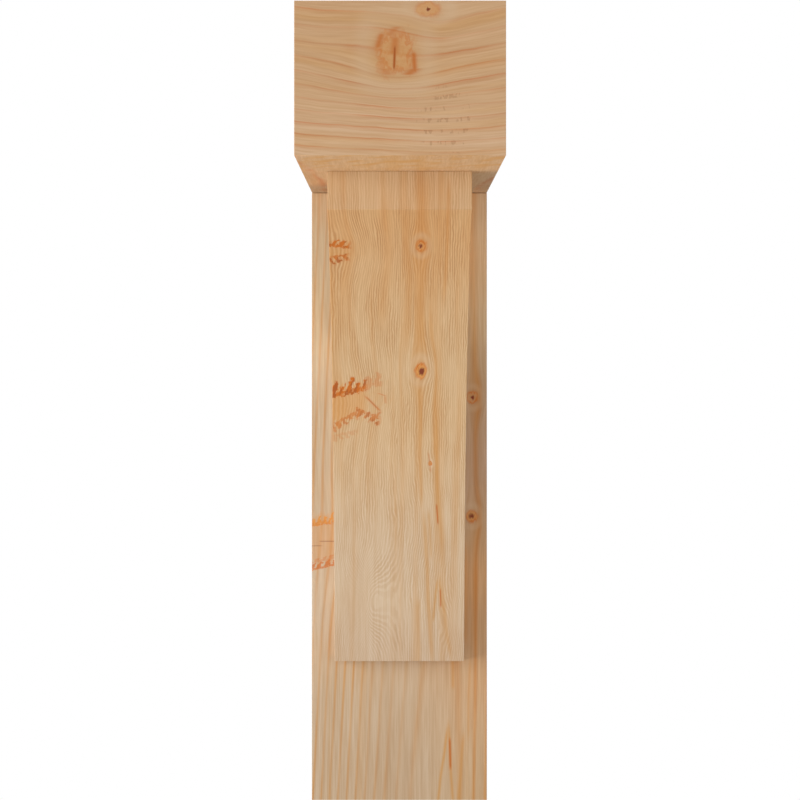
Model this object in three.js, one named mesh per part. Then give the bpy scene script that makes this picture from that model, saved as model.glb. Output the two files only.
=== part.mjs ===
// Block bracket of solid timber, made to be fixed to a wall and to carry what rests on its beam.
//
// A post stands against the wall. A beam with a square-cut end lies on the post and reaches out from the
// wall. A thinner brace runs from the post up to the beam: its front is one hollow curve that ends in an
// upright nose under the beam, its back is straight, and a three-cornered opening is left behind it.
//
// Millimetres, +Z up. The wall is the plane Y = 0 and the bracket reaches out towards -Y. X runs along the
// wall with X = 0 in the middle of the bracket, and the origin is halfway up the bracket's back.

import * as THREE from "three";

// The whole bracket
const WIDTH = 139.7; // the beam and the post are equally wide
const HEIGHT = 587.1; // from the foot of the post to the top of the beam
const REACH = 587.1; // from the wall to the square end of the beam

// The beam and the post
const BEAM_HEIGHT = 102.1;
const POST_DEPTH = 102.1; // from the wall to the front of the post

// The brace
const BRACE_WIDTH = 102.8;
const NOSE_REACH = 303.3; // from the front of the post to the nose
const NOSE_HEIGHT = 27.2; // the upright cut between the beam and the hollow curve
const TOE_REACH = 16.1; // from the front of the post to the lower tip of the curve
const TOE_ABOVE_FOOT = 112.3; // from the foot of the post to the level cut under the toe
const HOLLOW_RADIUS = 443.3; // the curve of the front
const OPENING_LEG = 121.5; // from the inner corner to where the back meets the post, and the beam
const JOINT_GAP = 0.3; // the joint line where two pieces meet

const CURVE_STEPS = 72;

// Levels above the foot of the post
const BEAM_UNDERSIDE = HEIGHT - BEAM_HEIGHT;
const NOSE_BOTTOM = BEAM_UNDERSIDE - NOSE_HEIGHT;

// The centre of the circle of the given radius that passes through two points and lies to the right of the
// way from the first to the second.
function arcCentre(from, to, radius) {
  const chord = to.clone().sub(from);
  const halfChord = chord.length() / 2;
  const offset = Math.sqrt(radius ** 2 - halfChord ** 2);
  const right = new THREE.Vector2(chord.y, -chord.x).normalize();
  return from.clone().add(to).multiplyScalar(0.5).addScaledVector(right, offset);
}

// The side elevation of the brace: x is the distance in front of the post, y the height above its foot.
function braceOutline() {
  const back = JOINT_GAP;
  const top = BEAM_UNDERSIDE - JOINT_GAP;
  const toe = new THREE.Vector2(TOE_REACH, TOE_ABOVE_FOOT);
  const nose = new THREE.Vector2(NOSE_REACH, NOSE_BOTTOM);
  const centre = arcCentre(toe, nose, HOLLOW_RADIUS);
  const angleTo = (point) => Math.atan2(point.y - centre.y, point.x - centre.x);
  const diagonal = BEAM_UNDERSIDE - OPENING_LEG; // x + this height is constant along the straight back

  const outline = new THREE.Shape();
  outline.moveTo(back, diagonal + back);
  outline.lineTo(back, TOE_ABOVE_FOOT);
  outline.lineTo(toe.x, toe.y);
  outline.absarc(centre.x, centre.y, HOLLOW_RADIUS, angleTo(toe), angleTo(nose), true);
  outline.lineTo(NOSE_REACH, top);
  outline.lineTo(top - diagonal, top);
  outline.closePath();
  return outline;
}

function timber(color, roughness) {
  return new THREE.MeshStandardMaterial({ color, roughness, metalness: 0 });
}

function makeTopBeam() {
  const beam = new THREE.Mesh(
    new THREE.BoxGeometry(WIDTH, REACH, BEAM_HEIGHT),
    timber(0xc89f76, 0.6),
  );
  beam.name = "top_beam";
  beam.position.set(0, -REACH / 2, BEAM_UNDERSIDE + BEAM_HEIGHT / 2);
  return beam;
}

function makeWallPost() {
  const height = BEAM_UNDERSIDE - JOINT_GAP;
  const post = new THREE.Mesh(
    new THREE.BoxGeometry(WIDTH, POST_DEPTH, height),
    timber(0xd0ab82, 0.62),
  );
  post.name = "wall_post";
  post.position.set(0, -POST_DEPTH / 2, height / 2);
  return post;
}

function makeCurvedBrace() {
  const solid = new THREE.ExtrudeGeometry(braceOutline(), {
    depth: BRACE_WIDTH,
    bevelEnabled: false,
    curveSegments: CURVE_STEPS,
  });
  const brace = new THREE.Mesh(solid, timber(0xcba477, 0.6));
  brace.name = "curved_brace";
  // Turned so that the elevation's x points out from the wall and its y points up.
  brace.rotation.set(0, -Math.PI / 2, -Math.PI / 2);
  brace.position.set(BRACE_WIDTH / 2, -POST_DEPTH, 0);
  return brace;
}

const bracket = new THREE.Group();
bracket.add(makeTopBeam(), makeWallPost(), makeCurvedBrace());
bracket.position.z = -HEIGHT / 2;

export default bracket;
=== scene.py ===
"""Block bracket: a timber wall bracket of a beam, a post and a curved brace, in sanded fir.

Laid out as a Blender add-on and run as a script. Metres, +Z up, the wall in the plane Y = 0, the beam
reaching out towards -Y.
"""

import math

import bmesh
import bpy
from bpy.props import FloatProperty, FloatVectorProperty, IntProperty, PointerProperty
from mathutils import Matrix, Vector


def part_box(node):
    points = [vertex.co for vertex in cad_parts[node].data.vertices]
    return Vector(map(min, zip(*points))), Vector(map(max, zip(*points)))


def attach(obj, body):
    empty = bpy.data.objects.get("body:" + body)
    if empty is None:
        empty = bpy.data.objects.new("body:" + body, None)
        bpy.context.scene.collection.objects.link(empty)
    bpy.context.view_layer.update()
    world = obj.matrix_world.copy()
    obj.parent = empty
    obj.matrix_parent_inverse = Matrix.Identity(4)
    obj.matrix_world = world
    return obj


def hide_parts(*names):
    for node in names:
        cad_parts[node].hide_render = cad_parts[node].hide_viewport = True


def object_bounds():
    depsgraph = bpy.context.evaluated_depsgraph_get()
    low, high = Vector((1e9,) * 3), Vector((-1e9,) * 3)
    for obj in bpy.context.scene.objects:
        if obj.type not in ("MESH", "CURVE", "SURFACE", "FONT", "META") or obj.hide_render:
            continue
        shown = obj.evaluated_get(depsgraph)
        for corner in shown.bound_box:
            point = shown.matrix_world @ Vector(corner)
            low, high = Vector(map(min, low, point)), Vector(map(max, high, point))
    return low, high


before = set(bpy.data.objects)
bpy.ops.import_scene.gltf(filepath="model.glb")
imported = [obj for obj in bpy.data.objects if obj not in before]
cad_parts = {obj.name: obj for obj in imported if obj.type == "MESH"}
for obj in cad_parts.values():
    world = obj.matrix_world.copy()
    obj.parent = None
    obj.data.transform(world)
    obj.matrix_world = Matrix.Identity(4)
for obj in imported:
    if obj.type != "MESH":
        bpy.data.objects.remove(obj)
CAD_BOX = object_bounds()

bl_info = {
    "name": "Block Bracket",
    "version": (1, 0, 0),
    "blender": (4, 5, 0),
    "location": "3D View > Sidebar > Bracket",
    "description": "Makes a timber wall bracket with a square-cut beam, a post and a curved brace",
    "category": "Add Mesh",
}

MILLIMETRE = 0.001


def screen_colour(*parts):
    """The linear colour of one that is given as it looks on a screen, 0 to 255."""
    shares = [part / 255 for part in parts]
    return tuple(s / 12.92 if s <= 0.04045 else ((s + 0.055) / 1.055) ** 2.4 for s in shares)


def colour_property(name, description, *parts):
    return FloatVectorProperty(
        name=name,
        description=description,
        default=screen_colour(*parts),
        min=0.0,
        max=1.0,
        subtype="COLOR",
    )


def length_property(name, description, millimetres):
    return FloatProperty(
        name=name,
        description=description,
        default=millimetres * MILLIMETRE,
        unit="LENGTH",
    )


def power_property(name, description, watts):
    return FloatProperty(name=name, description=description, default=watts, unit="POWER")


class BracketSizes(bpy.types.PropertyGroup):
    """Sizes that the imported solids' boxes don't hold."""

    edge_easing: length_property("Edge Easing", "Radius that sanding leaves on each edge", 0.25)
    edge_band: length_property("Edge Band", "Width of the strip beside each edge that handling marks", 3.0)
    nose_height: length_property("Nose Height", "Height of the upright cut above the brace's curve", 27.2)
    toe_reach: length_property("Toe Reach", "Distance from the post to the curve's lower tip", 16.1)
    hollow_radius: length_property("Hollow Radius", "Radius of the brace's hollow front", 443.3)
    opening_leg: length_property("Opening Leg", "Distance from the inner corner to the brace's back", 121.5)
    joint_line: length_property("Joint Line", "Open line between the brace and the beam", 0.05)
    curve_steps: IntProperty(
        name="Curve Steps",
        description="Faces along the brace's curve",
        default=96,
        min=8,
    )


class TimberColours(bpy.types.PropertyGroup):
    """The colours of the fir, as its sanded faces show them."""

    beam_pale: colour_property("Beam Pale", "Early wood of the beam", 212, 168, 120)
    beam_dark: colour_property("Beam Dark", "Late wood of the beam", 200, 116, 60)
    post_pale: colour_property("Post Pale", "Early wood of the post", 206, 175, 138)
    post_dark: colour_property("Post Dark", "Late wood of the post", 202, 134, 50)
    # Pale sapwood at the post's left edge, painted paler still beside the brace as painted light.
    post_sap_and_light: colour_property("Post Sap And Light", "Palest wood, at the post's left edge", 212, 196, 170)
    brace_pale: colour_property("Brace Pale", "Early wood of the brace", 224, 198, 162)
    brace_dark: colour_property("Brace Dark", "Late wood of the brace", 200, 160, 116)
    streak: colour_property("Streak", "Broad warm streaks along the grain", 208, 149, 75)
    knot_heart: colour_property("Knot Heart", "Inside of a knot", 218, 150, 76)
    knot_fringe: colour_property("Knot Fringe", "Resin round a knot", 204, 103, 0)
    knot_core: colour_property("Knot Core", "Dark middle of a knot", 126, 38, 0)
    knot_halo: colour_property("Knot Halo", "Pale wood round a knot", 222, 192, 154)


class StudioSettings(bpy.types.PropertyGroup):
    """The camera, the floor and the lights."""

    lens: FloatProperty(
        name="Lens",
        description="Focal length on a 36 mm sensor",
        default=156.4,
        unit="CAMERA",
    )
    camera_place: FloatVectorProperty(
        name="Camera Place",
        description="Where the camera stands, looking straight at the wall",
        default=(-0.0027, -2.8773, 0.0512),
        subtype="TRANSLATION",
        unit="LENGTH",
    )
    shift: FloatVectorProperty(
        name="Lens Shift",
        description="Sideways and upward shift of the lens, as shares of the picture's width",
        size=2,
        default=(0.005, -0.0396),
    )
    floor_gap: length_property("Floor Gap", "Height of the bracket's foot above the floor", 1500.0)
    floor_glow: FloatProperty(
        name="Floor Glow",
        description="Brightness added to the floor as it is seen, to keep it pale",
        default=0.45,
    )
    backdrop: FloatProperty(
        name="Backdrop",
        description="Brightness of the white surroundings as they are seen",
        default=1.0,
    )
    surround: FloatProperty(
        name="Surround",
        description="Brightness of the light that the surroundings send",
        default=0.42,
    )
    side_light: power_property("Side Light", "Power of the soft light on the left", 62.0)
    fill_light: power_property("Fill Light", "Power of the weak light on the right", 11.0)
    top_light: power_property("Top Light", "Power of the weak light above and behind", 12.0)


def link(piece):
    bpy.context.scene.collection.objects.link(piece)
    return piece


def ease_and_band(bm, sizes):
    """Rounds every sharp edge a little and lays a narrow band beside it. The edge attribute is one on the
    rounding and falls to nothing across the band."""
    sharp_angle = math.radians(30)
    sharp = [e for e in bm.edges if e.calc_face_angle(0) > sharp_angle]
    bevel = bmesh.ops.bevel(
        bm,
        geom=sharp,
        offset=sizes.edge_easing,
        offset_type="OFFSET",
        segments=3,
        profile=0.5,
        affect="EDGES",
        clamp_overlap=True,
        material=-1,
    )
    eased = set(bevel["faces"])
    edge = bm.verts.layers.float.new("edge")
    for face in eased:
        for vert in face.verts:
            vert[edge] = 1.0
    flats = [f for f in bm.faces if f not in eased]
    for line in bm.edges:
        line.smooth = len({f in eased for f in line.link_faces}) == 1
    while flats:
        region = {flats[0]}
        grow = [flats[0]]
        while grow:
            near = {f for e in grow.pop().edges for f in e.link_faces}
            fresh = (near - eased) - region
            region |= fresh
            grow += fresh
        flats = [f for f in flats if f not in region]
        bmesh.ops.inset_region(
            bm,
            faces=list(region),
            thickness=sizes.edge_band,
            use_boundary=True,
            use_even_offset=True,
        )
    for face in bm.faces:
        face.smooth = True


def finish_piece(bm, name, node, material):
    """Turns a bmesh into the piece that stands for a node of the frame."""
    ease_and_band(bm, bpy.context.scene.bracket_sizes)
    mesh = bpy.data.meshes.new(name)
    bm.to_mesh(mesh)
    bm.free()
    mesh.materials.append(material)
    piece = link(bpy.data.objects.new(name, mesh))
    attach(piece, "root")
    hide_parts(node)
    return piece


def block_on(node):
    """A bmesh block that fills the box of a node."""
    low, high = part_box(node)
    bm = bmesh.new()
    bmesh.ops.create_cube(bm, size=1.0)
    bmesh.ops.scale(bm, vec=high - low, verts=bm.verts)
    bmesh.ops.translate(bm, vec=(low + high) / 2, verts=bm.verts)
    return bm


def brace_form(sizes):
    """A bmesh of the brace: its front curve is spun, its other corners follow, and the outline is drawn
    out across the bracket."""
    low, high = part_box("curved_brace")
    post_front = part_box("wall_post")[0].y
    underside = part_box("top_beam")[0].z
    top = underside - sizes.joint_line
    left = low.x
    toe = Vector((left, post_front - sizes.toe_reach, low.z))
    nose = Vector((left, low.y, underside - sizes.nose_height))
    chord = nose - toe
    offset = math.sqrt(sizes.hollow_radius**2 - chord.length_squared / 4)
    outward = Vector((0, -chord.z, chord.y)).normalized()
    centre = (toe + nose) / 2 + outward * offset
    sweep = 2 * math.asin(chord.length / 2 / sizes.hollow_radius)

    bm = bmesh.new()
    first = bmesh.ops.create_vert(bm, co=toe)["vert"][0]
    bmesh.ops.spin(
        bm,
        geom=[first],
        cent=centre,
        axis=(1, 0, 0),
        angle=sweep,
        steps=sizes.curve_steps,
        use_merge=False,
    )
    bm.verts.ensure_lookup_table()
    last = max(bm.verts, key=lambda v: v.co.z)
    for y, z in (
        (low.y, top),
        (post_front - sizes.opening_leg + (underside - top), top),
        (high.y, underside - sizes.opening_leg + (post_front - high.y)),
        (high.y, low.z),
    ):
        last = bmesh.ops.extrude_vert_indiv(bm, verts=[last])["verts"][0]
        last.co = (left, y, z)
    bmesh.ops.contextual_create(bm, geom=[first, last])
    bmesh.ops.contextual_create(bm, geom=bm.edges[:])
    drawn = bmesh.ops.extrude_face_region(bm, geom=bm.faces[:])["geom"]
    bmesh.ops.translate(
        bm,
        vec=(high.x - low.x, 0, 0),
        verts=[v for v in drawn if isinstance(v, bmesh.types.BMVert)],
    )
    bmesh.ops.recalc_face_normals(bm, faces=bm.faces[:])
    return bm


class Nodes:
    """Adds linked shader nodes to a tree, so that a material reads as a list of steps."""

    def __init__(self, tree):
        self.tree = tree

    def add(self, kind, inputs=(), **settings):
        node = self.tree.nodes.new(kind)
        for name, value in settings.items():
            setattr(node, name, value)
        for key, value in dict(inputs).items():
            if isinstance(value, bpy.types.NodeSocket):
                self.tree.links.new(value, node.inputs[key])
            else:
                node.inputs[key].default_value = value
        return node

    def maths(self, operation, *values):
        return self.add("ShaderNodeMath", enumerate(values), operation=operation).outputs[0]

    def vectors(self, operation, *values):
        node = self.add("ShaderNodeVectorMath", enumerate(values), operation=operation)
        return node.outputs["Value" if operation == "LENGTH" else "Vector"]

    def split(self, vector):
        return self.add("ShaderNodeSeparateXYZ", {0: vector}).outputs

    def join(self, *values):
        return self.add("ShaderNodeCombineXYZ", enumerate(values)).outputs[0]

    def group(self, make, inputs):
        """The node group that the function makes, made once and placed with its own values."""
        name = make.__name__.replace("_", " ")
        tree = bpy.data.node_groups.get(name) or make(name)
        return self.add("ShaderNodeGroup", inputs, node_tree=tree).outputs

    def noise(self, vector, scale, detail=2.0, roughness=0.5):
        """Noise from 0 to 1, with its own scale, in repeats to the metre, along each axis."""
        node = self.add(
            "ShaderNodeTexNoise",
            {
                "Vector": self.vectors("MULTIPLY", vector, scale),
                "Scale": 1.0,
                "Detail": detail,
                "Roughness": roughness,
            },
        )
        return node.outputs["Fac"]

    def sway(self, vector, scale, amount, detail=2.0):
        """Noise spread about nothing, up to the given amount either way."""
        centred = self.maths("SUBTRACT", self.noise(vector, scale, detail), 0.5)
        return self.maths("MULTIPLY", centred, 2 * amount)

    def ease(self, value, start, end, low=0.0, high=1.0):
        """A smooth step from low to high as the value goes from start to end."""
        node = self.add(
            "ShaderNodeMapRange",
            {"Value": value, "From Min": start, "From Max": end, "To Min": low, "To Max": high},
            interpolation_type="SMOOTHSTEP",
        )
        return node.outputs["Result"]

    def ridge(self, value, middle, width):
        """One where the value is at the middle, falling to nothing at the width either side."""
        away = self.maths("ABSOLUTE", self.maths("SUBTRACT", value, middle))
        return self.ease(away, width, 0.0)

    def hill(self, distance):
        """A bell of height one, for a distance counted in widths."""
        return self.maths("EXPONENT", self.maths("MULTIPLY", self.maths("POWER", distance, 2.0), -1.0))

    def hill_at(self, place, centre, widths):
        """A bell of height one round a centre, with its own width along each axis."""
        away = self.vectors("DIVIDE", self.vectors("SUBTRACT", place, centre), widths)
        return self.hill(self.vectors("LENGTH", away))

    def times(self, *values):
        product = values[0]
        for value in values[1:]:
            product = self.maths("MULTIPLY", product, value)
        return product

    def blend(self, amount, low, high, way="MIX"):
        node = self.add(
            "ShaderNodeMix", {0: amount, 6: low, 7: high}, data_type="RGBA", blend_type=way
        )
        return node.outputs[2]

    def mix_vectors(self, amount, low, high):
        node = self.add("ShaderNodeMix", {0: amount, 4: low, 5: high}, data_type="VECTOR")
        return node.outputs[1]

    def paint(self, wood, amount, colour):
        """Lays a colour over the wood."""
        return self.blend(amount, wood, (*colour, 1))

    def tint(self, wood, amount, colour):
        """Multiplies the wood by a colour."""
        return self.blend(amount, wood, (*colour, 1), "MULTIPLY")

    def facing(self, axis):
        """One on the faces that are square to an axis, 0 to 2 for X to Z."""
        normal = self.add("ShaderNodeTexCoord").outputs["Normal"]
        return self.ease(self.maths("ABSOLUTE", self.split(normal)[axis]), 0.6, 0.8)


def new_group(name, inputs, outputs):
    """An empty shader node group with its sockets, and the nodes to fill it with."""
    group = bpy.data.node_groups.new(name, "ShaderNodeTree")
    for label, kind, default in inputs:
        socket = group.interface.new_socket(label, in_out="INPUT", socket_type="NodeSocket" + kind)
        socket.default_value = default
    for label, kind in outputs:
        group.interface.new_socket(label, in_out="OUTPUT", socket_type="NodeSocket" + kind)
    nodes = Nodes(group)
    return group, nodes, nodes.add("NodeGroupInput").outputs


def growth_rings(name):
    """Rings round a pith on the local Z axis. The phase counts rings inwards from the given radius, and
    widening makes each wider than the one outside it. Each has a thin line and a tone that fades towards
    one side: a spacing below nothing turns the fade round."""
    group, nodes, given = new_group(
        name,
        [
            ("Position", "Vector", (0, 0, 0)),
            ("Radius", "Float", 0.0),
            ("Spacing", "Float", 0.006),
            ("Widening", "Float", 0.0),
            ("Wander", "Float", 0.003),
            ("Fade Share", "Float", 0.45),
            ("Line Share", "Float", 0.14),
        ],
        [("Fade", "Float"), ("Line", "Float"), ("Away", "Float")],
    )
    place = given["Position"]
    sways = nodes.sway(place, (9, 9, 1.5), 1.0, detail=1.0)
    ripples = nodes.sway(place, (55, 55, 6), 0.16)
    away = nodes.vectors("LENGTH", nodes.vectors("MULTIPLY", place, (1, 1, 0)))
    away = nodes.maths("MULTIPLY_ADD", nodes.maths("ADD", sways, ripples), given["Wander"], away)
    inward = nodes.maths("SUBTRACT", given["Radius"], away)
    slowing = nodes.maths("SUBTRACT", 1.0, nodes.maths("MULTIPLY", given["Widening"], inward))
    phase = nodes.maths("MULTIPLY", nodes.maths("DIVIDE", inward, given["Spacing"]), slowing)
    part = nodes.maths("FRACT", phase)
    fade_start = 0.46
    inner = nodes.maths("SUBTRACT", part, fade_start)
    rise = nodes.ease(inner, 0.0, 0.05)
    nodes.add(
        "NodeGroupOutput",
        {
            "Fade": nodes.times(rise, nodes.ease(inner, given["Fade Share"], 0.0)),
            "Line": nodes.ridge(part, 0.5, given["Line Share"]),
            "Away": away,
        },
    )
    return group


def fibres(name):
    """Fine fibres, broad streaks and soft mottling along the local Z axis."""
    group, nodes, given = new_group(
        name,
        [("Position", "Vector", (0, 0, 0))],
        [("Fibres", "Float"), ("Threads", "Float"), ("Streaks", "Float"), ("Mottle", "Float")],
    )
    place = given["Position"]
    nodes.add(
        "NodeGroupOutput",
        {
            "Fibres": nodes.noise(place, (900, 900, 28), roughness=0.6),
            "Threads": nodes.noise(place, (330, 330, 7), roughness=0.6),
            "Streaks": nodes.noise(place, (95, 95, 2.2), roughness=0.6),
            "Mottle": nodes.noise(place, (28, 28, 9)),
        },
    )
    return group


def knot(name):
    """A knot in the wood and the way the grain parts round it. The masks pass through, so that several
    knots follow each other."""
    masks = ("Heart", "Fringe", "Core", "Halo")
    group, nodes, given = new_group(
        name,
        [
            ("Position", "Vector", (0, 0, 0)),
            ("Flames", "Float", 0.5),
            ("Centre", "Vector", (0, 0, 0)),
            ("Radii", "Vector", (1, 1, 1)),
            ("Corners", "Float", 2.0),
            ("Ragged", "Float", 0.3),
            ("Reach", "Vector", (1, 1, 1)),
            ("Parting", "Vector", (0.8, 0, 0)),
            ("Heart Depth", "Float", 0.7),
            ("Core Depth", "Float", 1.0),
            ("Core Share", "Float", 0.34),
            ("Fringe Depth", "Float", 1.0),
            ("Open", "Float", 0.0),
            ("Grain", "Vector", (0, 0, 0)),
            *[(mask, "Float", 0.0) for mask in masks],
        ],
        [("Grain", "Vector"), *[(mask, "Float") for mask in masks]],
    )
    offset = nodes.vectors("SUBTRACT", given["Position"], given["Centre"])
    share = nodes.split(nodes.vectors("ABSOLUTE", nodes.vectors("DIVIDE", offset, given["Radii"])))
    powers = [nodes.maths("POWER", part, given["Corners"]) for part in share]
    total = nodes.maths("ADD", nodes.maths("ADD", powers[0], powers[1]), powers[2])
    size = nodes.maths("POWER", total, nodes.maths("DIVIDE", 1.0, given["Corners"]))
    flicker = nodes.times(nodes.maths("SUBTRACT", given["Flames"], 0.5), given["Ragged"])
    rough = nodes.maths("ADD", size, flicker)

    inside = nodes.ease(rough, 1.0, 0.72)
    rings = nodes.ease(nodes.maths("SINE", nodes.times(rough, 16.0)), 0.2, 1.0)
    shut = nodes.maths("SUBTRACT", 1.0, given["Open"])
    lit = nodes.maths("MAXIMUM", nodes.ease(given["Flames"], 0.42, 0.54), nodes.times(shut, 0.55))
    end = nodes.maths("MAXIMUM", shut, nodes.ease(share[0], 0.75, 0.4))
    edge = nodes.times(nodes.ridge(rough, 0.9, 0.36), lit, end)
    fringe = nodes.maths("MAXIMUM", edge, nodes.times(rings, inside, lit, shut, 0.4))
    dark = nodes.maths("MULTIPLY_ADD", flicker, 1.2, size)
    core = nodes.ease(nodes.maths("DIVIDE", dark, given["Core Share"]), 1.0, 0.3)
    found = {
        "Heart": nodes.times(inside, given["Heart Depth"], nodes.ease(end, 0.0, 1.0, 0.3, 1.0)),
        "Fringe": nodes.times(fringe, given["Fringe Depth"]),
        "Core": nodes.times(core, given["Core Depth"]),
        "Halo": nodes.times(nodes.ridge(size, 1.8, 0.9), shut),
    }
    near = nodes.hill_at(given["Position"], given["Centre"], given["Reach"])
    shift = nodes.vectors("MULTIPLY", offset, given["Parting"])
    moved = nodes.add("ShaderNodeVectorMath", {0: shift, "Scale": near}, operation="SCALE").outputs[0]
    nodes.add(
        "NodeGroupOutput",
        {
            "Grain": nodes.vectors("SUBTRACT", given["Grain"], moved),
            **{mask: nodes.maths("MAXIMUM", given[mask], value) for mask, value in found.items()},
        },
    )
    return group


def streak(name):
    """A narrow stroke in the wood from a head down to a foot, in the plane of X and Z."""
    group, nodes, given = new_group(
        name,
        [
            ("Position", "Vector", (0, 0, 0)),
            ("Head", "Vector", (0, 0, 0)),
            ("Foot", "Vector", (0, 0, 0)),
            ("Width", "Float", 0.002),
            ("Depth", "Float", 0.5),
            ("Mask", "Float", 0.0),
        ],
        [("Mask", "Float")],
    )
    at = nodes.split(given["Position"])
    head = nodes.split(given["Head"])
    foot = nodes.split(given["Foot"])
    drop = nodes.maths("SUBTRACT", head["Z"], foot["Z"])
    along = nodes.maths("DIVIDE", nodes.maths("SUBTRACT", at["Z"], foot["Z"]), drop)
    line = nodes.maths(
        "MULTIPLY_ADD", nodes.maths("SUBTRACT", head["X"], foot["X"]), along, foot["X"]
    )
    aside = nodes.maths("DIVIDE", nodes.maths("SUBTRACT", at["X"], line), given["Width"])
    ends = nodes.times(nodes.ease(along, -0.08, 0.15), nodes.ease(along, 1.08, 0.85))
    mark = nodes.times(nodes.hill(aside), ends, given["Depth"])
    nodes.add("NodeGroupOutput", {"Mask": nodes.maths("MAXIMUM", given["Mask"], mark)})
    return group


def flame_row(name):
    """A ragged row of resin flames on a sloping line, in the plane of X and Z. They hang from the line
    where their height is below nothing, and they fade at the row's far end."""
    group, nodes, given = new_group(
        name,
        [
            ("Position", "Vector", (0, 0, 0)),
            ("Start", "Vector", (0, 0, 0)),
            ("End", "Vector", (0, 0, 0)),
            ("Height", "Float", 0.01),
            ("Pitch", "Float", 0.005),
            ("Lean", "Float", 0.2),
            ("Depth", "Float", 1.0),
            ("Mask", "Float", 0.0),
        ],
        [("Mask", "Float")],
    )
    place = given["Position"]
    at = nodes.split(place)
    start = nodes.split(given["Start"])
    end = nodes.split(given["End"])
    length = nodes.maths("SUBTRACT", end["X"], start["X"])
    run = nodes.maths("DIVIDE", nodes.maths("SUBTRACT", at["X"], start["X"]), length)
    climb = nodes.maths("SUBTRACT", end["Z"], start["Z"])
    above = nodes.maths("SUBTRACT", at["Z"], nodes.maths("MULTIPLY_ADD", climb, run, start["Z"]))
    rise = nodes.maths("DIVIDE", above, given["Height"])
    rise = nodes.maths("ADD", rise, nodes.sway(place, (330, 0, 330), 0.35))
    aside = nodes.maths("SUBTRACT", at["X"], nodes.times(above, given["Lean"]))
    aside = nodes.maths("DIVIDE", aside, given["Pitch"])
    aside = nodes.maths("ADD", aside, nodes.sway(place, (300, 0, 300), 0.6))
    tip = nodes.ease(nodes.noise(place, (150, 0, 20), detail=1.0), 0.35, 0.65, 0.7, 1.2)
    tongue = nodes.times(
        nodes.ease(nodes.ridge(nodes.maths("FRACT", aside), 0.5, 0.5), 0.15, 0.6),
        nodes.ease(rise, -0.15, 0.05),
        nodes.ease(nodes.maths("SUBTRACT", tip, rise), 0.0, 0.25),
    )
    broken = nodes.ease(nodes.noise(place, (520, 0, 300), detail=1.0), 0.35, 0.55, 0.35, 0.95)
    root = nodes.times(nodes.ease(nodes.ridge(rise, 0.06, 0.3), 0.1, 0.5), broken)
    ends = nodes.times(nodes.ease(run, -0.03, 0.03), nodes.ease(run, 1.0, 0.75))
    mark = nodes.times(nodes.maths("MAXIMUM", tongue, root), ends, given["Depth"])
    nodes.add("NodeGroupOutput", {"Mask": nodes.maths("MAXIMUM", given["Mask"], mark)})
    return group


def with_knots(nodes, place, grain, flames, knots):
    """Passes the grain round each knot and returns it with the knots' masks."""
    flow = {"Grain": grain}
    for each in knots:
        made = nodes.group(knot, {"Position": place, "Flames": flames, **each, **flow})
        flow = {socket.name: socket for socket in made}
    return flow.pop("Grain"), flow


def with_marks(nodes, make, place, labels, rows, mask):
    """One mask of several marks of one kind. A row holds the values of the labelled inputs, and gives a
    place as X and Z."""
    for row in rows:
        values = [(value[0], 0, value[1]) if isinstance(value, tuple) else value for value in row]
        inputs = {"Position": place, "Mask": mask, **dict(zip(labels, values))}
        mask = nodes.group(make, inputs)["Mask"]
    return mask


def with_streaks(nodes, place, rows, mask=0.0):
    """One mask of several strokes."""
    return with_marks(nodes, streak, place, ("Head", "Foot", "Width", "Depth"), rows, mask)


def with_flames(nodes, place, rows, mask=0.0):
    """One mask of several rows of flames."""
    labels = ("Start", "End", "Height", "Pitch", "Lean", "Depth")
    return with_marks(nodes, flame_row, place, labels, rows, mask)


def deepen(nodes, masks, name, *shares):
    """Raises a mask to the product of the shares, where that is more."""
    masks[name] = nodes.maths("MAXIMUM", masks[name], nodes.times(*shares))


def paint_knots(nodes, wood, masks, colours):
    """Lays the knots' colours over the wood."""
    for name, colour, amount in (
        ("Halo", colours.knot_halo, 0.25),
        ("Heart", colours.knot_heart, 1.0),
        ("Fringe", colours.knot_fringe, 1.0),
        ("Core", colours.knot_core, 1.0),
    ):
        wood = nodes.paint(wood, nodes.times(masks[name], amount), colour)
    return wood


def finish_timber(nodes, wood, relief, dull):
    """Joins colour, relief and sheen to the shader: sanded fir with nearly no shine, its colour cooled a
    little as a painted sheen, and a little smoother on its handled edges."""
    sheen_veil_tone = (0.995, 1.015, 1.08)
    handled = (0.78, 0.6, 0.42)
    edge = nodes.add("ShaderNodeAttribute", attribute_name="edge").outputs["Fac"]
    # Painted sheen: the colour is made cooler in place of the shine that the low specular level leaves out.
    wood = nodes.tint(wood, 1.0, sheen_veil_tone)
    wood = nodes.paint(wood, nodes.times(edge, 0.06), handled)
    shader = nodes.tree.nodes["Principled BSDF"]
    height = nodes.times(relief, nodes.ease(edge, 0.0, 1.0, 1.0, 0.3))
    bump = nodes.add("ShaderNodeBump", {"Height": height, "Strength": 0.5, "Distance": 0.0004})
    rough = nodes.maths("MULTIPLY_ADD", dull, 0.16, 0.5)
    rough = nodes.maths("SUBTRACT", rough, nodes.times(edge, 0.06))
    nodes.tree.links.new(wood, shader.inputs["Base Color"])
    nodes.tree.links.new(rough, shader.inputs["Roughness"])
    nodes.tree.links.new(bump.outputs["Normal"], shader.inputs["Normal"])
    shader.inputs["Specular IOR Level"].default_value = 0.08


def new_timber(name):
    """A material, its nodes and the object coordinates that all its patterns start from."""
    material = bpy.data.materials.new(name)
    material.use_nodes = True
    nodes = Nodes(material.node_tree)
    return material, nodes, nodes.add("ShaderNodeTexCoord").outputs["Object"]


def shaded(nodes, wood, fine, low=0.9, high=1.08):
    """Darkens the wood to a warmer tone and lightens it to a cooler one by a fine pattern."""
    tints = [(share**0.6, share, share**1.5, 1) for share in (low, high)]
    shade = nodes.blend(nodes.ease(fine, 0.3, 0.7), *tints)
    return nodes.blend(1.0, wood, shade, "MULTIPLY")


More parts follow.
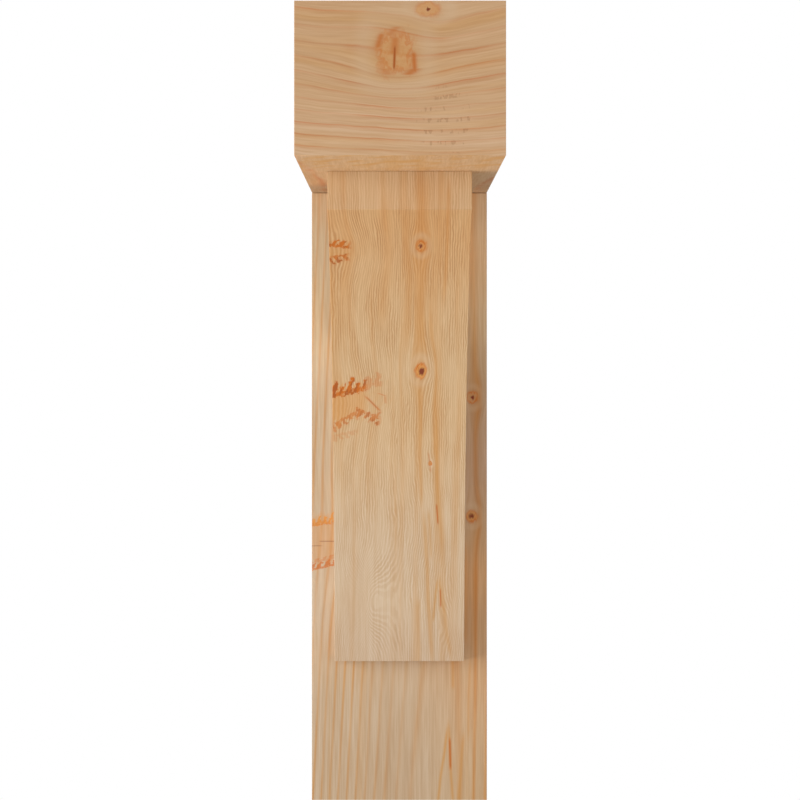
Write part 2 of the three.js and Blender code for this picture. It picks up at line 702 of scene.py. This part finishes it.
def beam_timber(colours):
    """Flat-sawn fir. The pith lies far above the beam, so the rings show as shallow sagging lines on its
    ends and as straight lines along its sides."""
    material, nodes, place = new_timber("beam_timber")
    x, y, z = nodes.split(place)
    lengthwise = nodes.join(x, z, y)
    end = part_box("top_beam")[0].y
    flames = nodes.noise(lengthwise, (330, 200, 20))
    knots = [
        {
            "Centre": (-0.0030, 0.2590, end),
            "Radii": (0.0118, 0.0135, 0.04),
            "Corners": 3.4,
            "Ragged": 1.3,
            "Reach": (0.036, 0.022, 0.12),
            "Parting": (0.2, 0.75, 0),
            "Heart Depth": 0.3,
            "Core Depth": 0.0,
            "Fringe Depth": 0.5,
        },
        {
            "Centre": (0.0185, 0.2880, end),
            "Radii": (0.0085, 0.0055, 0.03),
            "Ragged": 1.0,
            "Reach": (0.026, 0.017, 0.09),
            "Parting": (0.25, 0.75, 0),
            "Heart Depth": 0.55,
            "Fringe Depth": 0.4,
        },
    ]
    grain, masks = with_knots(nodes, lengthwise, lengthwise, flames, knots)
    pith = (0.007, 0.642, 0)
    rings = nodes.group(
        growth_rings,
        {
            "Position": nodes.vectors("SUBTRACT", grain, pith),
            "Radius": 0.4522,
            "Spacing": -0.0070,
            "Widening": 2.2,
            "Wander": 0.005,
            "Fade Share": 0.5,
            "Line Share": 0.09,
        },
    )

    # On the ends the fibres follow the rings, and on the top the rings are faint.
    on_end = nodes.facing(1)
    along_rings = nodes.join(rings["Away"], y, x)
    lines = nodes.group(fibres, {"Position": nodes.mix_vectors(on_end, grain, along_rings)})
    patchy = nodes.ease(nodes.noise(place, (20, 20, 50), detail=1.0), 0.38, 0.62, 0.3, 1.0)
    upper = nodes.times(nodes.facing(2), nodes.ease(z, 0.26, 0.28))
    patchy = nodes.times(patchy, nodes.ease(upper, 0.0, 1.0, 1.0, 0.25))
    late = nodes.times(rings["Line"], patchy)
    fade = nodes.times(rings["Fade"], patchy)
    wood = nodes.blend(nodes.times(fade, 0.34), (*colours.beam_pale, 1), (*colours.beam_dark, 1))
    wood = nodes.paint(wood, nodes.times(late, 0.6), colours.beam_dark)
    wood = nodes.paint(wood, nodes.ease(lines["Streaks"], 0.45, 0.75, 0.0, 0.4), colours.streak)
    wood = shaded(nodes, wood, lines["Fibres"])
    wood = shaded(nodes, wood, lines["Threads"], 0.95, 1.04)

    # The front end is cooler, most of all in its lower half.
    front_end = nodes.times(on_end, nodes.ease(y, -0.3, -0.4))
    low_end = nodes.times(front_end, nodes.ease(z, 0.235, 0.2))
    wood = nodes.tint(wood, front_end, (1.01, 1.02, 1.06))
    wood = nodes.tint(wood, low_end, (1.06, 1.11, 1.22))

    # The underside has slanting warm blots near the front, and is redder there. Towards the post it is
    # painted cooler, which takes out warm light reflected from the brace's sides.
    slant = nodes.join(nodes.maths("MULTIPLY_ADD", y, 0.25, x), y, 0.0)
    blots = nodes.ease(nodes.noise(slant, (75, 26, 1), detail=3.0), 0.46, 0.66)
    under = nodes.times(nodes.facing(2), nodes.ease(z, 0.26, 0.22))
    blots = nodes.times(blots, under, nodes.ease(y, -0.38, -0.5))
    wood = nodes.paint(wood, nodes.times(blots, 0.8), colours.streak)
    # Redder near the front end; cooler towards the post as painted light.
    near_end = nodes.ease(y, -0.36, -0.44)
    shade = nodes.blend(near_end, (0.93, 1.03, 1.12, 1), (1.13, 1.09, 1.04, 1))
    wood = nodes.blend(under, wood, shade, "MULTIPLY")

    # The large knot has resin bars, a crack in its middle and a warm stain round it.
    bars = with_streaks(
        nodes,
        place,
        (
            ((0.0088, 0.2600), (0.0098, 0.2455), 0.0018, 1.0),
            ((-0.0120, 0.2720), (-0.0150, 0.2620), 0.0024, 0.9),
            ((-0.0020, 0.2765), (-0.0080, 0.2700), 0.0035, 0.6),
            ((-0.0030, 0.2700), (-0.0040, 0.2580), 0.0030, 0.8),
            ((-0.0110, 0.2490), (-0.0080, 0.2445), 0.0040, 0.6),
            ((0.0100, 0.2490), (0.0050, 0.2445), 0.0040, 0.9),
        ),
    )
    crack = with_streaks(nodes, place, (((-0.0034, 0.2640), (-0.0040, 0.2480), 0.0008, 1.0),))
    deepen(nodes, masks, "Fringe", bars, front_end, 0.8)
    deepen(nodes, masks, "Fringe", crack, front_end)
    deepen(nodes, masks, "Core", crack, front_end, 0.5)
    deepen(nodes, masks, "Core", bars, front_end, 0.1)
    stain = nodes.hill_at(place, (-0.004, end, 0.262), (0.022, 1, 0.018))
    wood = nodes.paint(wood, nodes.times(stain, front_end, 0.35), colours.streak)

    # Small pores show as dents between the rings at the lower right of the front end. They are darker,
    # partly as their own colour and partly as painted shade in the dents.
    patch = nodes.times(nodes.hill_at(place, (0.030, end, 0.214), (0.019, 1, 0.024)), front_end)
    flecks = nodes.ease(nodes.noise(place, (640, 1, 220), detail=0.0), 0.58, 0.66)
    flecks = nodes.times(flecks, nodes.ease(patch, 0.3, 0.5), nodes.ease(rings["Fade"], 0.05, 0.3))
    wood = nodes.tint(wood, flecks, (0.84, 0.80, 0.76))

    wood = paint_knots(nodes, wood, masks, colours)
    relief = nodes.maths("ADD", nodes.times(late, 0.4), nodes.times(lines["Fibres"], 0.5))
    relief = nodes.maths("SUBTRACT", relief, nodes.times(flecks, 2.0))
    finish_timber(nodes, wood, relief, lines["Mottle"])
    return material


def post_timber(colours):
    """Fir sawn near the pith, which runs inside the post a little to the right, leaning slightly."""
    material, nodes, place = new_timber("post_timber")
    flames = nodes.noise(place, (420, 420, 110))
    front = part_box("wall_post")[0].y
    knots = [
        {
            "Centre": (aside, front, up),
            "Radii": (0.0044, 1.0, 0.0050),
            "Ragged": 1.2,
            "Reach": (0.010, 1.0, 0.02),
            "Parting": (0.8, 0, 0),
            "Heart Depth": heart,
            "Core Share": core,
            "Fringe Depth": 0.75,
        }
        for aside, up, heart, core in ((0.0582, 0.0279, 0.3, 0.45), (0.0577, -0.0672, 0.8, 0.68))
    ]
    knots.append(
        {
            "Centre": (-0.0698, front, -0.0845),
            "Radii": (0.06, 0.03, 0.0215),
            "Ragged": 1.0,
            "Reach": (0.06, 0.05, 0.05),
            "Parting": (0.3, 0, 0),
            "Heart Depth": 0.34,
            "Core Depth": 0.0,
            "Fringe Depth": nodes.times(nodes.facing(0), 0.75),
            "Open": 0.6,
        }
    )
    grain, masks = with_knots(nodes, place, place, flames, knots)

    # The rings are faint in the middle of the front. Beside the brace the left edge is paler, as pale
    # sapwood and as painted light, and its rings are fainter there.
    pith_shift = (-0.041, 0.0561, 0)
    pith_lean = (0.02, -0.045, 0)
    from_pith = nodes.add(
        "ShaderNodeMapping", {"Vector": grain, "Location": pith_shift, "Rotation": pith_lean}
    )
    rings = nodes.group(
        growth_rings,
        {
            "Position": from_pith.outputs["Vector"],
            "Spacing": 0.0060,
            "Wander": 0.002,
            "Fade Share": 0.5,
            "Line Share": 0.24,
        },
    )
    lines = nodes.group(fibres, {"Position": grain})
    patchy = nodes.ease(nodes.noise(grain, (40, 40, 7)), 0.35, 0.65, 0.3, 1.0)
    x, y, z = nodes.split(place)
    quiet = nodes.ridge(x, -0.006, 0.04)
    late = nodes.times(rings["Line"], patchy, nodes.ease(quiet, 0.0, 1.0, 1.0, 0.5))
    # The pale strip at the left edge above the brace's toe is pale sapwood and painted light.
    sap_and_light_side = nodes.times(nodes.ease(x, -0.035, -0.062), nodes.ease(z, -0.2, -0.13))
    wood = nodes.blend(nodes.times(sap_and_light_side, 0.6), (*colours.post_pale, 1), (*colours.post_sap_and_light, 1))
    wood = nodes.paint(wood, nodes.times(rings["Fade"], 0.16), colours.post_dark)
    late_depth = nodes.ease(sap_and_light_side, 0.0, 1.0, 0.68, 0.45)
    wood = nodes.paint(wood, nodes.times(late, late_depth), colours.post_dark)
    wood = nodes.paint(wood, nodes.ease(lines["Streaks"], 0.5, 0.75, 0.0, 0.45), colours.streak)
    wood = shaded(nodes, wood, lines["Fibres"])
    wood = shaded(nodes, wood, lines["Threads"], 0.93, 1.06)

    # Warm strokes and one thin line of resin mark the front, low down and at its right edge.
    drift = nodes.vectors("ADD", grain, nodes.join(nodes.sway(grain, (60, 60, 30), 0.0012), 0, 0))
    strokes = with_streaks(
        nodes,
        drift,
        (
            ((0.0385, -0.2330), (0.0300, -0.3000), 0.0012, 0.75),
            ((0.0388, -0.2310), (0.0428, -0.3000), 0.0012, 0.7),
            ((0.0515, -0.2400), (0.0466, -0.3000), 0.0016, 0.6),
            ((0.0420, -0.1800), (0.0428, -0.2050), 0.0014, 0.55),
            ((0.0560, -0.1800), (0.0552, -0.2450), 0.0011, 0.45),
            ((0.0600, -0.0600), (0.0590, -0.1700), 0.0022, 0.3),
            ((0.0510, -0.0850), (0.0520, -0.1700), 0.0030, 0.55),
        ),
    )
    sap = with_streaks(nodes, grain, (((0.0402, -0.2440), (0.0408, -0.2690), 0.0009, 0.8),))
    on_front = nodes.times(nodes.facing(1), nodes.ease(y, -0.05, -0.08))
    wood = nodes.paint(wood, nodes.times(strokes, on_front), colours.streak)
    deepen(nodes, masks, "Fringe", sap, on_front)
    deepen(nodes, masks, "Core", sap, on_front, 0.3)

    # The knot at the left edge shows as a band with pale flames above, resin flames below and two seams.
    glow_row = ((-0.0705, -0.0748), (-0.045, -0.0700), 0.0075, 0.0048, 0.2, 1.0)
    deepen(nodes, masks, "Heart", with_flames(nodes, place, (glow_row,)), on_front)
    resin = with_flames(
        nodes,
        place,
        (
            ((-0.0715, -0.1102), (-0.045, -0.1040), 0.0055, 0.0062, 0.6, 0.75),
            ((-0.0715, -0.1046), (-0.045, -0.0985), 0.0032, 0.0058, 0.6, 0.4),
            ((-0.0715, -0.0746), (-0.050, -0.0725), 0.0036, 0.0046, 0.6, 0.3),
        ),
    )
    deepen(nodes, masks, "Fringe", resin, on_front)
    right_end = nodes.times(nodes.ease(x, -0.0650, -0.0620), nodes.ease(x, -0.035, -0.045))
    deepen(nodes, masks, "Core", nodes.ridge(z, -0.0869, 0.0008), right_end, on_front, 0.5)
    left_end = nodes.ease(x, -0.0600, -0.0640)
    deepen(nodes, masks, "Core", nodes.ridge(z, -0.0905, 0.0006), left_end, on_front, 0.5)

    # Redder to the right, most of all lower down, and darker towards the foot. Beside the brace the front
    # carries painted light and shade.
    right_front = nodes.times(nodes.ease(x, 0.0, 0.07), on_front)
    lit_left_front = nodes.times(sap_and_light_side, on_front)
    redness = nodes.blend(nodes.ease(z, 0.04, -0.14), (1.03, 0.97, 0.90, 1), (1.03, 0.87, 0.71, 1))
    wood = nodes.blend(right_front, wood, redness, "MULTIPLY")
    # Painted light on the upper front: stronger at the left edge under the beam, weaker at the right where
    # light comes through the opening behind the brace.
    top = nodes.blend(right_front, (1.20, 1.14, 0.98, 1), (1.08, 1.06, 0.98, 1))
    high = nodes.times(nodes.ease(z, 0.03, 0.12), on_front)
    wood = nodes.blend(high, wood, top, "MULTIPLY")
    everywhere = 1.0
    for part, levels, tone in (
        # Painted shade at middle heights beside the brace.
        (on_front, nodes.ridge(z, -0.015, 0.12), (0.88, 0.90, 0.90)),
        # At the right: painted shade under the beam, painted light through the opening, a bluer tint in the
        # painted shade, painted light low down, and a cooler tone below the brace.
        (right_front, nodes.ease(z, 0.13, 0.18), (0.86, 0.86, 0.88)),
        (right_front, nodes.ridge(z, 0.09, 0.06), (1.12, 1.22, 1.30)),
        (right_front, nodes.ridge(z, -0.02, 0.07), (1.04, 1.01, 1.12)),
        (right_front, nodes.ridge(z, -0.111, 0.045), (1.14, 1.10, 1.04)),
        (right_front, nodes.ease(z, -0.2, -0.28), (0.96, 1.04, 1.10)),
        # At the left edge: painted light high up, and warmer painted shade just under the beam.
        (lit_left_front, nodes.ridge(z, 0.055, 0.13), (1.06, 1.11, 1.13)),
        (lit_left_front, nodes.ease(z, 0.15, 0.18), (1.02, 0.92, 0.84)),
        # The wood is darker towards the foot.
        (quiet, nodes.ease(z, -0.19, -0.26), (0.95, 0.92, 0.89)),
        (everywhere, nodes.ease(z, -0.17, -0.22), (0.94, 0.96, 0.99)),
        (everywhere, nodes.ease(z, -0.2, -0.29), (0.95, 0.945, 0.94)),
    ):
        wood = nodes.tint(wood, nodes.times(part, levels), tone)
    wood = paint_knots(nodes, wood, masks, colours)
    relief = nodes.maths("ADD", nodes.times(late, 0.4), nodes.times(lines["Fibres"], 0.5))
    finish_timber(nodes, wood, relief, lines["Mottle"])
    return material


def brace_timber(colours):
    """Slow-grown fir, sawn so that its front shows narrow upright rings that ripple and part round the
    knots."""
    material, nodes, place = new_timber("brace_timber")
    x, y, z = nodes.split(place)
    lean = nodes.join(nodes.maths("MULTIPLY_ADD", z, -0.45, x), y, z)
    flames = nodes.noise(lean, (430, 60, 75))
    pins = [
        {
            "Centre": centre,
            "Radii": (wide, 1.0, tall),
            "Ragged": 1.3,
            "Reach": (2.4 * wide, 1.0, 3.2 * tall),
            "Parting": (0.85, 0, 0),
            "Heart Depth": heart,
            "Core Share": core,
            "Fringe Depth": 0.9,
        }
        for centre, wide, tall, heart, core in (
            ((0.0155, -0.3505, 0.1402), 0.0034, 0.0040, 0.6, 0.62),
            ((0.0163, -0.2315, 0.0496), 0.0044, 0.0058, 1.0, 0.58),
            ((0.0239, -0.1768, -0.0227), 0.0014, 0.0019, 0.8, 0.3),
        )
    ]

    # Two knots run in from the left edge, the lower one sloping upwards. Their outline shows on the side
    # alone.
    side = nodes.facing(0)
    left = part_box("curved_brace")[0].x
    inward = nodes.maths("SUBTRACT", x, left)
    spikes = [
        {
            "Centre": (left, out, up),
            "Radii": (long, tall, tall),
            "Corners": 3.0,
            "Ragged": 1.6,
            "Reach": (0.03, 0.04, 0.04),
            "Parting": (0.5, 0, 0),
            "Heart Depth": heart,
            "Core Depth": 0.0,
            "Fringe Depth": side,
            "Open": 0.9,
            "Position": nodes.join(x, y, nodes.maths("MULTIPLY_ADD", inward, -slope, z)),
        }
        for out, up, long, tall, slope, heart in (
            (-0.3454, 0.1374, 0.025, 0.0125, 0.0, 0.35),
            (-0.2093, 0.0210, 0.044, 0.0170, 0.33, 0.5),
        )
    ]

    # The grain stands upright on the front, and on the sides it slants from the toe up to the nose.
    facing_out = nodes.ease(side, 1.0, 0.0)
    front_grain = nodes.join(x, nodes.times(y, 0.04), z)
    across = nodes.maths("ADD", nodes.times(y, 0.35), nodes.times(z, 0.29))
    along = nodes.maths("ADD", nodes.times(y, -0.64), nodes.times(z, 0.77))
    side_grain = nodes.join(across, nodes.times(x, 0.04), along)
    flat = nodes.mix_vectors(side, front_grain, side_grain)
    grain, masks = with_knots(nodes, place, flat, flames, pins + spikes)
    lines = nodes.group(fibres, {"Position": grain})

    # The narrow rings wander, and swell into a bowl shape near the toe.
    spacing = 0.0018
    phase = nodes.maths("DIVIDE", nodes.split(grain)["X"], spacing)
    phase = nodes.maths("ADD", phase, nodes.sway(grain, (14, 14, 3), 4.5, detail=1.0))
    phase = nodes.maths("ADD", phase, nodes.sway(grain, (60, 60, 26), 1.3))
    phase = nodes.maths("ADD", phase, nodes.sway(grain, (260, 260, 110), 0.6))
    for centre, widths, height in (
        ((-0.0245, -0.13, -0.1340), (0.018, 1.0, 0.028), 12.0),
        ((0.0400, -0.13, -0.1500), (0.008, 1.0, 0.020), -3.0),
        ((0.0100, -0.16, -0.0700), (0.024, 1.0, 0.030), -3.0),
    ):
        phase = nodes.maths("MULTIPLY_ADD", nodes.hill_at(place, centre, widths), height, phase)
    wave = nodes.maths("SINE", nodes.times(phase, 2 * math.pi))
    ripple = nodes.ease(wave, 1.0, -0.6)
    bowl = nodes.hill_at(place, (-0.012, -0.13, -0.134), (0.012, 1.0, 0.02))
    strength = nodes.ease(nodes.noise(grain, (90, 90, 26)), 0.35, 0.62, 0.40, 0.95)
    strength = nodes.times(strength, nodes.ease(z, -0.18, 0.12, 0.6, 1.0))
    calm = nodes.maths("MULTIPLY_ADD", bowl, -0.8, 1.0)
    strength = nodes.times(strength, calm, nodes.ease(z, 0.162, 0.166, 1.0, 0.7))
    late = nodes.times(ripple, strength)

    wood = nodes.blend(late, (*colours.brace_pale, 1), (*colours.brace_dark, 1))
    wood = nodes.paint(wood, nodes.ease(lines["Streaks"], 0.45, 0.72, 0.0, 0.4), colours.streak)
    drift = nodes.vectors("ADD", grain, nodes.join(nodes.sway(grain, (10, 10, 12), 0.003), 0, 0))
    strokes = with_streaks(
        nodes,
        drift,
        (
            ((0.0165, 0.190), (0.0160, 0.060), 0.0042, 0.55),
            ((0.0160, 0.040), (0.0170, -0.060), 0.0016, 0.7),
            ((0.0185, -0.060), (0.0260, -0.185), 0.0018, 0.65),
            ((0.0350, 0.185), (0.0330, 0.100), 0.0016, 0.6),
            ((0.0225, 0.105), (0.0330, -0.100), 0.0020, 0.7),
            ((0.0225, -0.060), (0.0245, -0.100), 0.0012, 0.5),
            ((0.0070, 0.170), (0.0060, 0.060), 0.0030, 0.35),
            ((-0.0100, 0.175), (-0.0140, 0.080), 0.0045, 0.35),
            ((0.0300, -0.115), (0.0262, -0.150), 0.0010, 0.8),
            ((0.0310, -0.112), (0.0400, -0.178), 0.0016, 0.6),
            ((0.0150, -0.130), (0.0150, -0.185), 0.0016, 0.5),
        ),
    )
    wood = nodes.paint(wood, nodes.times(strokes, facing_out, 0.85), colours.streak)
    sap = with_streaks(
        nodes,
        place,
        (
            ((0.0290, -0.0550), (0.0302, -0.0710), 0.0006, 0.8),
            ((0.0322, -0.1230), (0.0326, -0.1380), 0.0006, 0.7),
            ((0.0225, -0.0140), (0.0245, -0.0300), 0.0006, 0.4),
        ),
    )
    deepen(nodes, masks, "Fringe", sap, facing_out)
    deepen(nodes, masks, "Core", sap, facing_out, 0.3)

    # Rows of resin flames mark the two knots on the front, with a few curls at the end of the lower one.
    curls = with_streaks(
        nodes,
        place,
        (
            ((-0.0262, 0.0300), (-0.0145, 0.0180), 0.0012, 0.65),
            ((-0.0165, 0.0322), (-0.0105, 0.0300), 0.0012, 0.55),
            ((-0.0110, 0.0300), (-0.0105, 0.0240), 0.0010, 0.35),
            ((-0.0145, 0.0180), (-0.0200, 0.0115), 0.0014, 0.6),
        ),
    )
    resin = with_flames(
        nodes,
        place,
        (
            ((-0.0525, 0.0290), (-0.0205, 0.0370), 0.0105, 0.0060, 0.25, 1.0),
            ((-0.0250, 0.0375), (-0.0110, 0.0395), 0.0090, 0.0070, 0.25, 0.35),
            ((-0.0525, 0.0075), (-0.0290, 0.0200), -0.0065, 0.0046, -0.5, 0.6),
            ((-0.0335, 0.0205), (-0.0125, 0.0125), -0.0070, 0.0052, 0.7, 0.7),
            ((-0.0520, -0.0010), (-0.0300, 0.0040), -0.0055, 0.0050, -0.7, 0.25),
            ((-0.0525, 0.1405), (-0.0340, 0.1385), 0.0050, 0.0052, 0.9, 1.0),
            ((-0.0525, 0.1322), (-0.0350, 0.1352), -0.0050, 0.0056, -0.9, 0.8),
        ),
        curls,
    )
    out_front = nodes.times(facing_out, nodes.ease(y, -0.17, -0.185))
    deepen(nodes, masks, "Fringe", resin, out_front)
    burnt = nodes.times(nodes.ease(resin, 0.4, 0.9), nodes.ease(flames, 0.44, 0.56), out_front, 0.45)
    deepen(nodes, masks, "Core", burnt)
    wood = shaded(nodes, wood, lines["Fibres"], 0.93, 1.06)
    wood = shaded(nodes, wood, lines["Threads"], 0.96, 1.03)

    # The tone grows redder towards the top. The nose is painted cooler and paler, as a painted sheen.
    tone = nodes.blend(nodes.ease(z, -0.12, -0.18), (0.915, 0.895, 0.89, 1), (0.85, 0.82, 0.83, 1))
    tone = nodes.blend(nodes.ease(z, -0.11, 0.03), tone, (0.97, 0.87, 0.715, 1))
    tone = nodes.blend(nodes.ease(z, 0.05, 0.20), tone, (1.01, 0.755, 0.475, 1))
    wood = nodes.blend(1.0, wood, tone, "MULTIPLY")
    # Painted sheen on the nose: cooler and paler than the curve below.
    wood = nodes.tint(wood, nodes.ease(z, 0.1635, 0.165), (0.93, 1.10, 1.42))
    wood = paint_knots(nodes, wood, masks, colours)
    relief = nodes.maths("ADD", nodes.times(late, 0.6), nodes.times(lines["Fibres"], 0.4))
    finish_timber(nodes, wood, relief, lines["Mottle"])
    return material


def soft_lamp(name, power, bearing, width, height=0.0, distance=2.2):
    """A square lamp that shines at the bracket. Its bearing in degrees counts from straight in front of
    the wall, to the right, and its height in degrees from level."""
    lamp = bpy.data.lights.new(name, "AREA")
    lamp.shape = "SQUARE"
    lamp.size = width
    lamp.energy = power
    stand = link(bpy.data.objects.new(name, lamp))
    angle = math.radians(bearing)
    tilt = math.radians(height)
    level = math.cos(tilt)
    way = Vector((math.sin(angle) * level, -math.cos(angle) * level, math.sin(tilt)))
    stand.location = Vector((0, (CAD_BOX[0].y + CAD_BOX[1].y) / 2, 0)) + way * distance
    stand.rotation_euler = way.to_track_quat("Z", "Y").to_euler()
    return stand


def strength_by_view(nodes, sent, seen):
    """One strength for the light that a surface sends and another for what the camera sees of it."""
    path = nodes.add("ShaderNodeLightPath").outputs["Is Camera Ray"]
    strength = nodes.add("ShaderNodeMapRange", {"Value": path, "To Min": sent, "To Max": seen})
    return strength.outputs["Result"]


def floor_material(glow):
    """Pale and matt from above, and clear from below."""
    material = bpy.data.materials.new("floor")
    material.use_nodes = True
    tree = material.node_tree
    nodes = Nodes(tree)
    shader = tree.nodes["Principled BSDF"]
    shader.inputs["Base Color"].default_value = (0.9, 0.9, 0.9, 1)
    shader.inputs["Roughness"].default_value = 0.8
    shader.inputs["Emission Color"].default_value = (1, 1, 1, 1)
    tree.links.new(strength_by_view(nodes, 0.0, glow), shader.inputs["Emission Strength"])
    below = nodes.add("ShaderNodeNewGeometry").outputs["Backfacing"]
    clear = nodes.add("ShaderNodeBsdfTransparent").outputs["BSDF"]
    sides = nodes.add("ShaderNodeMixShader", {0: below, 1: shader.outputs["BSDF"], 2: clear})
    tree.links.new(sides.outputs["Shader"], tree.nodes["Material Output"].inputs["Surface"])
    return material


def make_floor(studio):
    """A plain floor some way under the bracket's foot."""
    half_width = 6.0
    level = CAD_BOX[0].z - studio.floor_gap
    bm = bmesh.new()
    bmesh.ops.create_grid(bm, x_segments=1, y_segments=1, size=half_width)
    bmesh.ops.translate(bm, vec=(0, 0, level), verts=bm.verts)
    mesh = bpy.data.meshes.new("floor")
    bm.to_mesh(mesh)
    bm.free()
    mesh.materials.append(floor_material(studio.floor_glow))
    return link(bpy.data.objects.new("floor", mesh))


def make_surroundings(studio):
    """A white backdrop that sends less light than it shows."""
    world = bpy.data.worlds.new("surroundings")
    world.use_nodes = True
    tree = world.node_tree
    background = tree.nodes["Background"]
    background.inputs["Color"].default_value = (1, 1, 1, 1)
    strength = strength_by_view(Nodes(tree), studio.surround, studio.backdrop)
    tree.links.new(strength, background.inputs["Strength"])
    return world


def make_camera(studio):
    """A camera that looks straight at the wall."""
    lens = bpy.data.cameras.new("camera")
    lens.lens = studio.lens
    lens.sensor_width = 36.0
    lens.shift_x, lens.shift_y = studio.shift
    camera = link(bpy.data.objects.new("camera", lens))
    camera.location = studio.camera_place
    camera.rotation_euler = (math.radians(90), 0, 0)
    return camera


class BRACKET_OT_beam(bpy.types.Operator):
    """Makes the beam with the square-cut end"""

    bl_idname = "bracket.beam"
    bl_label = "Make Beam"

    def execute(self, context):
        timber = beam_timber(context.scene.bracket_colours)
        finish_piece(block_on("top_beam"), "beam", "top_beam", timber)
        return {"FINISHED"}


class BRACKET_OT_post(bpy.types.Operator):
    """Makes the post that stands against the wall"""

    bl_idname = "bracket.post"
    bl_label = "Make Post"

    def execute(self, context):
        timber = post_timber(context.scene.bracket_colours)
        finish_piece(block_on("wall_post"), "post", "wall_post", timber)
        return {"FINISHED"}


class BRACKET_OT_brace(bpy.types.Operator):
    """Makes the brace with the hollow-curved front"""

    bl_idname = "bracket.brace"
    bl_label = "Make Brace"

    def execute(self, context):
        form = brace_form(context.scene.bracket_sizes)
        timber = brace_timber(context.scene.bracket_colours)
        finish_piece(form, "brace", "curved_brace", timber)
        return {"FINISHED"}


class BRACKET_OT_stage(bpy.types.Operator):
    """Makes the floor, the soft light and the camera"""

    bl_idname = "bracket.stage"
    bl_label = "Make Stage"

    def execute(self, context):
        scene = context.scene
        studio = scene.bracket_studio
        floor = make_floor(studio)
        scene.world = make_surroundings(studio)
        soft_lamp("side_light", studio.side_light, bearing=-76, width=1.6)
        soft_lamp("fill_light", studio.fill_light, bearing=35, width=1.0)
        soft_lamp("top_light", studio.top_light, bearing=180, width=0.6, height=78)
        scene.camera = make_camera(studio)
        scene.view_settings.view_transform = "Standard"
        return {"FINISHED"}


STEPS = (BRACKET_OT_stage, BRACKET_OT_beam, BRACKET_OT_post, BRACKET_OT_brace)


class BRACKET_PT_sidebar(bpy.types.Panel):
    """Lists the steps that make the bracket"""

    bl_label = "Block Bracket"
    bl_idname = "BRACKET_PT_sidebar"
    bl_space_type = "VIEW_3D"
    bl_region_type = "UI"
    bl_category = "Bracket"

    def draw(self, context):
        for step in STEPS:
            self.layout.operator(step.bl_idname)


CLASSES = (BracketSizes, TimberColours, StudioSettings, *STEPS, BRACKET_PT_sidebar)


def register():
    for each in CLASSES:
        bpy.utils.register_class(each)
    bpy.types.Scene.bracket_sizes = PointerProperty(type=BracketSizes)
    bpy.types.Scene.bracket_colours = PointerProperty(type=TimberColours)
    bpy.types.Scene.bracket_studio = PointerProperty(type=StudioSettings)


def unregister():
    del bpy.types.Scene.bracket_studio
    del bpy.types.Scene.bracket_colours
    del bpy.types.Scene.bracket_sizes
    for each in reversed(CLASSES):
        bpy.utils.unregister_class(each)


def main():
    register()
    bpy.ops.bracket.stage()
    bpy.ops.bracket.beam()
    bpy.ops.bracket.post()
    bpy.ops.bracket.brace()


if __name__ == "__main__":
    main()
